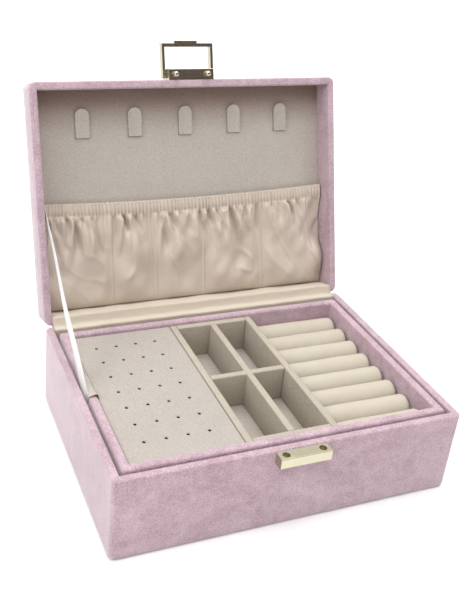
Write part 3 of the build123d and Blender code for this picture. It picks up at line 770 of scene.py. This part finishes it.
def pocket_stand(x, up, height):
    """How far the cloth stands off the panel, at a distance up from its foot."""
    share = up / height
    rise = 1 - math.exp(-up / (2.6 * MM))
    stand = rise * (5.4 - 1.1 * share) * MM
    seam = max(bump_at(x - place, 5.5 * MM) for place in SEAMS)
    ends = bump_at(POCKET_HALF - abs(x), 5.0 * MM)
    hold = (1 - share) ** 0.35
    stand *= 1 - 0.42 * max(seam, ends) * hold
    drape = BILLOW_DEPTH * billow(x)
    drape += WAVE_DEPTH * noise.noise(Vector(((x + 0.3 * up) / (24 * MM), up / (25 * MM), 1.7)))
    place = Vector(((x - 0.5 * up) / (12 * MM), (up + 0.2 * x) / (17 * MM), 6.3))
    drape += CRUMPLE_DEPTH * noise.noise(place)
    fold_line = noise.noise(Vector(((x + 0.55 * up) / (19 * MM), (up - 0.3 * x) / (30 * MM), 3.9)))
    fold_share = 0.5 + noise.noise(Vector((x / (16 * MM), up / (16 * MM), 7.7)))
    drape += FOLD_LINE_DEPTH * max(0.0, fold_share) * bump_at(fold_line, 0.1)
    drape *= 1 + FULLER_RIGHT * max(0.0, x) / POCKET_HALF
    stand += drape * math.sin(math.pi * min(share, 0.97)) ** 0.6 * (1 - 0.6 * seam)
    ridge = max(bump_at(x - place - 0.4 * MM, 0.65 * MM) for place in SEAMS)
    stand += SEAM_RIDGE * ridge * rise
    below = height - up
    stand += RUFFLE_DEPTH * ruffle(x) * math.exp(-below / ruffle_reach(x)) * rise
    for fold_x, width, length, depth, slant in long_folds:
        if abs(x - fold_x) < 14 * MM and below < 1.6 * length:
            away = x - fold_x - slant * below
            fade = math.exp(-((below / length) ** 3)) * min(1, below / (3 * MM))
            spread = width * (1 + below / (0.8 * length))
            stand += depth * fade * (bump_at(away, spread) - 0.8 * bump_at(away - 1.9 * spread, spread))
    return max(stand, 0.35 * MM)


def pocket_point(across, along):
    """A point of the pocket, with the lid closed: up its face, over the elastic and back."""
    x = (2 * across - 1) * POCKET_HALF
    top = hinge_point.y - sag(x)
    foot_to_casing = POCKET_FOOT - top - CASING
    face_end, casing_end, turn_end = 0.80, 0.90, 0.935
    if along <= face_end:
        up = foot_to_casing * along / face_end
        stand = pocket_stand(x, up, foot_to_casing)
        return Vector((x, POCKET_FOOT - up, PANEL_FACE - 0.1 * MM - stand))
    gather = RUFFLE_DEPTH * ruffle(x)
    scallop = 0.25 * MM * ruffle(x + 0.7 * MM)
    if along <= casing_end:
        share = (along - face_end) / (casing_end - face_end)
        pinch = 0.35 * MM * (bump_at(share, 0.16) + bump_at(share - 0.86, 0.1))
        up = foot_to_casing + (CASING + scallop) * share
        stand = CASING_STAND + gather * (1 - 0.35 * math.sin(math.pi * share)) - pinch
        stand += 0.35 * MM * math.sin(math.pi * share)
        return Vector((x, POCKET_FOOT - up, PANEL_FACE - 0.1 * MM - stand))
    up = foot_to_casing + CASING + scallop
    if along <= turn_end:
        turn = math.pi * (along - casing_end) / (turn_end - casing_end)
        stand = CASING_STAND + gather * (0.65 + 0.35 * math.cos(turn)) - 1.3 * MM * (1 - math.cos(turn))
        return Vector((x, POCKET_FOOT - up - 0.6 * MM * math.sin(turn), PANEL_FACE - 0.1 * MM - stand))
    share = (along - turn_end) / (1 - turn_end)
    stand = CASING_STAND + gather * 0.3 - 2.6 * MM
    return Vector((x, POCKET_FOOT - up + share * CASING, PANEL_FACE - 0.1 * MM - stand))


def laid_cloth(name, columns, rows, place, size):
    """A grid of cloth laid by a rule from shares across and along, with threads to scale."""
    bpy.ops.object.select_all(action="DESELECT")
    bpy.ops.mesh.primitive_grid_add(x_subdivisions=columns, y_subdivisions=rows, size=2)
    piece = bpy.context.object
    piece.name = piece.data.name = name
    for point in piece.data.vertices:
        point.co = place((point.co.x + 1) / 2, (point.co.y + 1) / 2)
    uv = piece.data.uv_layers.active.data
    flat = np.zeros(len(uv) * 2)
    uv.foreach_get("uv", flat)
    flat = flat.reshape(-1, 2) * np.array(size)
    uv.foreach_set("uv", flat.ravel())
    return piece


def thicken(piece, thickness):
    """Give cloth its thickness, half to each side."""
    solid = piece.modifiers.new("thickness", "SOLIDIFY")
    solid.thickness = thickness
    solid.offset = 0
    bpy.ops.object.select_all(action="DESELECT")
    piece.select_set(True)
    bpy.context.view_layer.objects.active = piece
    bpy.ops.object.modifier_apply(modifier="thickness")


def make_weave():
    """Weave: warp and weft threads over the cloth's own measure, some thicker than others."""
    group = bpy.data.node_groups.new("weave", "ShaderNodeTree")
    socket(group, "Thread", "NodeSocketColor")
    socket(group, "Shade", "NodeSocketColor")
    socket(group, "Threads per metre", "NodeSocketFloat", value=2500.0)
    socket(group, "Weft share", "NodeSocketFloat", value=0.5)
    socket(group, "Slub", "NodeSocketFloat", value=0.5)
    socket(group, "Color", "NodeSocketColor", "OUTPUT")
    socket(group, "Height", "NodeSocketFloat", "OUTPUT")
    given = group.nodes.new("NodeGroupInput").outputs
    place = group.nodes.new("ShaderNodeUVMap").outputs[0]
    parts = group.nodes.new("ShaderNodeSeparateXYZ")
    group.links.new(place, parts.inputs[0])
    turns = maths(group, "MULTIPLY", given["Threads per metre"], 2 * math.pi)
    warp = maths(group, "SINE", maths(group, "MULTIPLY", parts.outputs["X"], turns), None)
    weft = maths(group, "SINE", maths(group, "MULTIPLY", parts.outputs["Y"], turns), None)
    stretch = group.nodes.new("ShaderNodeCombineXYZ")
    group.links.new(maths(group, "MULTIPLY", parts.outputs["X"], 130.0), stretch.inputs["X"])
    group.links.new(maths(group, "MULTIPLY", parts.outputs["Y"], 2200.0), stretch.inputs["Y"])
    slub = speckle(group, stretch.outputs[0], 1.0, 3.0, 0.6)
    uneven = maths(group, "MULTIPLY", maths(group, "SUBTRACT", slub, 0.5), given["Slub"])
    crossing = maths(group, "MULTIPLY", maths(group, "MULTIPLY", warp, weft), 0.5)
    ribs = maths(group, "MULTIPLY", weft, given["Weft share"])
    height = maths(group, "ADD", maths(group, "ADD", crossing, ribs), uneven)
    share = maths(group, "MULTIPLY_ADD", height, 0.4, 0.5, clamp=True)
    mix = group.nodes.new("ShaderNodeMix")
    mix.data_type = "RGBA"
    group.links.new(share, mix.inputs["Factor"])
    group.links.new(given["Shade"], mix.inputs[6])
    group.links.new(given["Thread"], mix.inputs[7])
    out = group.nodes.new("NodeGroupOutput").inputs
    group.links.new(mix.outputs[2], out["Color"])
    group.links.new(height, out["Height"])
    return group


weave = make_weave()


def woven_cloth(name, thread, shade, threads, weft_share, slub, bump, roughness, sheen):
    """Satin, ribbon or elastic: the weave's colour and relief, and the thread's gloss."""
    material, tree, shader = new_material(name)
    threads_node = tree.nodes.new("ShaderNodeGroup")
    threads_node.node_tree = weave
    threads_node.inputs["Thread"].default_value = (*thread, 1)
    threads_node.inputs["Shade"].default_value = (*shade, 1)
    threads_node.inputs["Threads per metre"].default_value = threads
    threads_node.inputs["Weft share"].default_value = weft_share
    threads_node.inputs["Slub"].default_value = slub
    tree.links.new(threads_node.outputs["Color"], shader.inputs["Base Color"])
    relief(tree, shader, threads_node.outputs["Height"], bump)
    shader.inputs["Roughness"].default_value = roughness
    shader.inputs["Sheen Weight"].default_value = sheen
    shader.inputs["Sheen Roughness"].default_value = 0.4
    return material


satin = woven_cloth(
    "satin", (0.60, 0.515, 0.44), (0.48, 0.405, 0.34), 1800.0, 0.4, 1.0, 0.03 * MM, 0.38, 0.2
)
pocket = laid_cloth("pocket", POCKET_COLUMNS, POCKET_ROWS, pocket_point, POCKET_CUT)
thicken(pocket, 0.25 * MM)
smooth(pocket, math.radians(180))
put(pocket, lid_frame)
fit(pocket, satin, "lid", "pocket_satin", "pocket_cloth")

# the elastic lies flat in the casing and follows its sag
ELASTIC_WIDTH = 6.0 * MM


def elastic_point(across, along):
    x = (2 * across - 1) * (POCKET_HALF - 0.3 * MM)
    y = hinge_point.y - sag(x) + (CASING - ELASTIC_WIDTH) / 2 + along * ELASTIC_WIDTH
    return Vector((x, y, PANEL_FACE - CASING_STAND + 1.4 * MM))


elastic_cloth = woven_cloth(
    "elastic_cloth", (0.8, 0.78, 0.74), (0.6, 0.58, 0.54), 1000.0, 1.0, 0.2, 0.1 * MM, 0.8, 0.0
)
elastic = laid_cloth("elastic", 40, 3, elastic_point, (0.218, ELASTIC_WIDTH))
thicken(elastic, 0.4 * MM)
put(elastic, lid_frame)
fit(elastic, elastic_cloth, "lid", "elastic", "pocket_elastic")

# ---- hinge cloth ----------------------------------------------------------------------
# A strip of ribbed beige cloth glued down the back of the base, over both rims and down the
# back of the lid. It is the hinge, and folds between the rims.
CLOTH_OFF = 0.33 * MM
HINGE_HALF = inner_x - 0.3 * MM
back_y = hinge_point.y


def in_base(y, depth):
    """A point of the base's section, by its depth below the rim."""
    return Vector((0, y, wrap_high.z - depth))


def in_lid(y, depth):
    """The same point of the lid's section, swung open."""
    return lid_frame @ Vector((0, y, depth))


def eased(points, times):
    """Cut the corners of a line of points until it runs smoothly."""
    for _ in range(times):
        cut_line = [points[0]]
        for a, b in zip(points, points[1:]):
            cut_line += [a.lerp(b, 0.25), a.lerp(b, 0.75)]
        points = cut_line + [points[-1]]
    return points


def strip_cloth(name, line, half_width, columns, ripple, thickness):
    """A strip with one section all along it, and faint ripples where the glue let go."""

    def place(across, along):
        position = along * (len(line) - 1)
        index = min(int(position), len(line) - 2)
        point = line[index].lerp(line[index + 1], position - index)
        x = (2 * across - 1) * half_width
        lift = ripple * noise.noise(Vector((x * 90, point.y * 160, point.z * 160)))
        return Vector((x, point.y + lift, point.z + lift))

    length = sum((b - a).length for a, b in zip(line, line[1:]))
    piece = laid_cloth(name, columns, len(line) - 1, place, (2 * half_width, length))
    thicken(piece, thickness)
    smooth(piece, math.radians(180))
    return piece, length


hinge_ribs = woven_cloth(
    "hinge_ribs", (0.72, 0.64, 0.52), (0.5, 0.43, 0.34), 900.0, 0.9, 0.7, 0.07 * MM, 0.75, 0.3
)
fold_start = in_base(back_y - 0.9 * MM, -CLOTH_OFF)
fold_end = in_lid(back_y - 0.9 * MM, -CLOTH_OFF)
hinge_line = eased(
    [
        in_base(inner_y - CLOTH_OFF, 14 * MM),
        in_base(inner_y - CLOTH_OFF, 7 * MM),
        in_base(inner_y - CLOTH_OFF, 1.6 * MM),
        in_base(inner_y - CLOTH_OFF, -CLOTH_OFF),
        in_base(inner_y + 1.6 * MM, -CLOTH_OFF),
        fold_start,
        hinge_point + Vector((0, -0.1 * MM, 0.05 * MM)),
        fold_end,
        in_lid(inner_y + 1.6 * MM, -CLOTH_OFF),
        in_lid(inner_y - CLOTH_OFF, -CLOTH_OFF),
        in_lid(inner_y - CLOTH_OFF, 1.6 * MM),
        in_lid(inner_y - CLOTH_OFF, 9 * MM),
        in_lid(inner_y - CLOTH_OFF, PANEL_FACE - 0.3 * MM),
    ],
    2,
)
hinge_cloth, hinge_length = strip_cloth("hinge_strip", hinge_line, HINGE_HALF, 90, 0.25 * MM, 0.3 * MM)
fit(hinge_cloth, hinge_ribs, None, "beige_suede", "hinge_cloth")
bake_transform(hinge_cloth)

# ---- velvet spine ---------------------------------------------------------------------
# On the outside a band of the velvet crosses from the base to the lid and covers the joint.
SPINE_OFF = 0.4 * MM
SPINE_HALF = half_x - 5.2 * MM
spine_line = eased(
    [
        in_base(back_y + SPINE_OFF, 8 * MM),
        in_base(back_y + SPINE_OFF, 3 * MM),
        in_base(back_y + SPINE_OFF, 0.6 * MM),
        in_lid(back_y + SPINE_OFF, 0.6 * MM),
        in_lid(back_y + SPINE_OFF, 3 * MM),
        in_lid(back_y + SPINE_OFF, 8 * MM),
    ],
    2,
)
spine, spine_length = strip_cloth("spine", spine_line, SPINE_HALF, 60, 0.15 * MM, 0.5 * MM)
fit(spine, velvet, None, "pink_velvet", "velvet_spine")
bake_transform(spine)

# ---- stay ribbon ----------------------------------------------------------------------
# A white satin ribbon, glued at both ends, stops the lid as it falls back. It is pulled
# tight and turns a little about its own length.
RIBBON_WIDTH = 11.0 * MM
RIBBON_X = -inner_x + 1.3 * MM
ribbon_foot = in_base(-5.7 * MM, 9 * MM) + Vector((RIBBON_X, 0, 0))
ribbon_head = in_lid(back_y - 80 * MM, 10 * MM) + Vector((RIBBON_X, 0, 0))
ribbon_run = ribbon_head - ribbon_foot
ribbon_side = ribbon_run.cross(Vector((1, 0, 0))).normalized()


def ribbon_point(across, along):
    turn = math.radians(-9 + 20 * along)
    edge = (2 * across - 1) * RIBBON_WIDTH / 2
    slack = 0.5 * MM * math.sin(3 * math.pi * along) * math.sin(math.pi * along)
    way = ribbon_side * math.cos(turn) + Vector((1, 0, 0)) * math.sin(turn)
    curl = 0.5 * MM * (2 * across - 1) ** 2
    return ribbon_foot + ribbon_run * along + way * edge + Vector((slack + curl, 0, 0))


ribbon_satin = woven_cloth(
    "ribbon_satin", (0.74, 0.74, 0.72), (0.6, 0.6, 0.58), 1600.0, 0.2, 0.3, 0.02 * MM, 0.35, 0.3
)
ribbon = laid_cloth("ribbon", 8, 60, ribbon_point, (RIBBON_WIDTH, ribbon_run.length))
thicken(ribbon, 0.2 * MM)
smooth(ribbon, math.radians(60))
fit(ribbon, ribbon_satin, None, "white_ribbon", "stay_ribbon")
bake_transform(ribbon)

# ---- tray pull tab --------------------------------------------------------------------
# A loop of beige cloth over the tray's left rim, to lift the tray by. Its front edge has
# sprung up a little.
PULL_FRONT = -4.5 * MM
PULL_BACK = 18.5 * MM
PULL_OFF = 0.3 * MM
wall_out, wall_in, rim_top = -tray_high.x, -tray_high.x + TRAY_WALL, tray_high.z
pull_line = eased(
    [
        Vector((wall_out - PULL_OFF, 0, rim_top - 16 * MM)),
        Vector((wall_out - PULL_OFF, 0, rim_top - 6 * MM)),
        Vector((wall_out - PULL_OFF, 0, rim_top + PULL_OFF)),
        Vector((wall_out + 2.2 * MM, 0, rim_top + PULL_OFF)),
        Vector((wall_in - 1.0 * MM, 0, rim_top + PULL_OFF)),
        Vector((wall_in + 0.4 * MM, 0, rim_top - 1.6 * MM)),
        Vector((wall_in + 0.6 * MM, 0, pad_high.z - 1.0 * MM)),
    ],
    3,
)


def pull_point(across, along):
    position = along * (len(pull_line) - 1)
    index = min(int(position), len(pull_line) - 2)
    point = pull_line[index].lerp(pull_line[index + 1], position - index)
    y = PULL_FRONT + across * (PULL_BACK - PULL_FRONT)
    over_rim = bump_at(along - 0.66, 0.22)
    lift = 1.5 * MM * math.exp(-across * 7) * over_rim
    crease = 0.3 * MM * noise.noise(Vector((point.x * 200, y * 150, 3.0))) * over_rim
    return Vector((point.x + 0.5 * lift, y, point.z + lift + abs(crease)))


pull_tab = laid_cloth("pull_tab", 24, len(pull_line) - 1, pull_point, (PULL_BACK - PULL_FRONT, 0.026))
thicken(pull_tab, 0.35 * MM)
smooth(pull_tab, math.radians(180))
fit(pull_tab, suede, "tray", "beige_suede", "tray_pull_tab")

# ---- clasp ----------------------------------------------------------------------------
# Cast metal parts plated pale gold: the keeper on the base, the block with two studs on the
# lid, and the swing loop. The plating is bright, with faint lines from polishing.
GOLD_DEEP = (0.53, 0.485, 0.345, 1)
GOLD_LIGHT = (0.59, 0.56, 0.43, 1)
gold, gold_tree, gold_shader = new_material("pale_gold")
polish_place = gold_tree.nodes.new("ShaderNodeTexCoord").outputs["Object"]
polish_lines = gold_tree.nodes.new("ShaderNodeMapping")
polish_lines.inputs["Scale"].default_value = (60, 900, 900)
gold_tree.links.new(polish_place, polish_lines.inputs["Vector"])
lines = speckle(gold_tree, polish_lines.outputs[0], 1.0, 4.0, 0.6)
clouds = speckle(gold_tree, polish_place, 160.0, 2.0, 0.5)
gold_mix = gold_tree.nodes.new("ShaderNodeMix")
gold_mix.data_type = "RGBA"
gold_mix.inputs[6].default_value = GOLD_DEEP
gold_mix.inputs[7].default_value = GOLD_LIGHT
gold_tree.links.new(clouds, gold_mix.inputs["Factor"])
gold_tree.links.new(gold_mix.outputs[2], gold_shader.inputs["Base Color"])
gloss = maths(gold_tree, "MULTIPLY_ADD", lines, 0.14, 0.14)
gold_tree.links.new(gloss, gold_shader.inputs["Roughness"])
relief(gold_tree, gold_shader, lines, 0.006 * MM)
gold_shader.inputs["Metallic"].default_value = 1.0
for node in ("clasp_keeper", "clasp_block", "hasp_loop", "hasp_pins"):
    metal = frame["nodes"][node]
    metal.data.materials.clear()
    metal.data.materials.append(gold)

# ---- boards, covers and screws --------------------------------------------------------
# What the cloth hides: grey boards, a felt paper cover under the base, foam risers and
# steel screws. The lining panel of the lid and the tray's floor are boards in suede.
greyboard = napped_cloth(
    "greyboard", (0.30, 0.28, 0.25), (0.45, 0.43, 0.39), 120.0, 1500.0, 0.4, 0.6, 0.08 * MM, 0.0, (1, 1, 1)
)
felt = napped_cloth(
    "felt", (0.10, 0.085, 0.09), (0.2, 0.17, 0.18), 60.0, 1400.0, 0.4, 0.8, 0.15 * MM, 0.3, (1, 1, 1)
)
steel, steel_tree, steel_shader = new_material("plated_steel")
steel_place = steel_tree.nodes.new("ShaderNodeTexCoord").outputs["Object"]
steel_wear = speckle(steel_tree, steel_place, 900.0, 4.0, 0.6)
steel_gloss = maths(steel_tree, "MULTIPLY_ADD", steel_wear, 0.3, 0.2)
steel_tree.links.new(steel_gloss, steel_shader.inputs["Roughness"])
steel_shader.inputs["Base Color"].default_value = (0.2, 0.19, 0.17, 1)
steel_shader.inputs["Metallic"].default_value = 1.0

# painted shade: the panel is coloured darker towards the lid's front wall, where the wall's shadow falls,
# beyond what the light does
SHADE_REACH = 32.0 * MM
SHADE_COLOUR = (0.52, 0.42, 0.38, 1)
panel_suede, panel_tree, panel_mix, panel_colour, panel_height = suede_by_height("panel_suede")
panel_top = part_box("lid_lining_panel")[1].z
near_wall = panel_tree.nodes.new("ShaderNodeMapRange")
near_wall.interpolation_type = "SMOOTHSTEP"
near_wall.inputs["From Min"].default_value = panel_top - SHADE_REACH
near_wall.inputs["From Max"].default_value = panel_top
panel_tree.links.new(panel_height, near_wall.inputs["Value"])
panel_mix.blend_type = "MULTIPLY"
panel_mix.inputs[7].default_value = SHADE_COLOUR
panel_tree.links.new(near_wall.outputs["Result"], panel_mix.inputs["Factor"])
panel_tree.links.new(panel_colour, panel_mix.inputs[6])

finishes = {
    "lid_lining_panel": (panel_suede, "beige_suede"),
    "tray_floor_board": (suede, "beige_suede"),
    "pad_risers": (greyboard, "greyboard"),
    "base_underside_cover": (felt, "underside_felt"),
    "keeper_screws": (steel, "plated_steel"),
    "block_screws": (steel, "plated_steel"),
}
for node, thing in frame["nodes"].items():
    if node.endswith("_board") and node not in finishes:
        finishes[node] = (greyboard, "greyboard")
for node, (material, slot_name) in finishes.items():
    thing = frame["nodes"][node]
    thing.data.materials.clear()
    thing.data.materials.append(material)
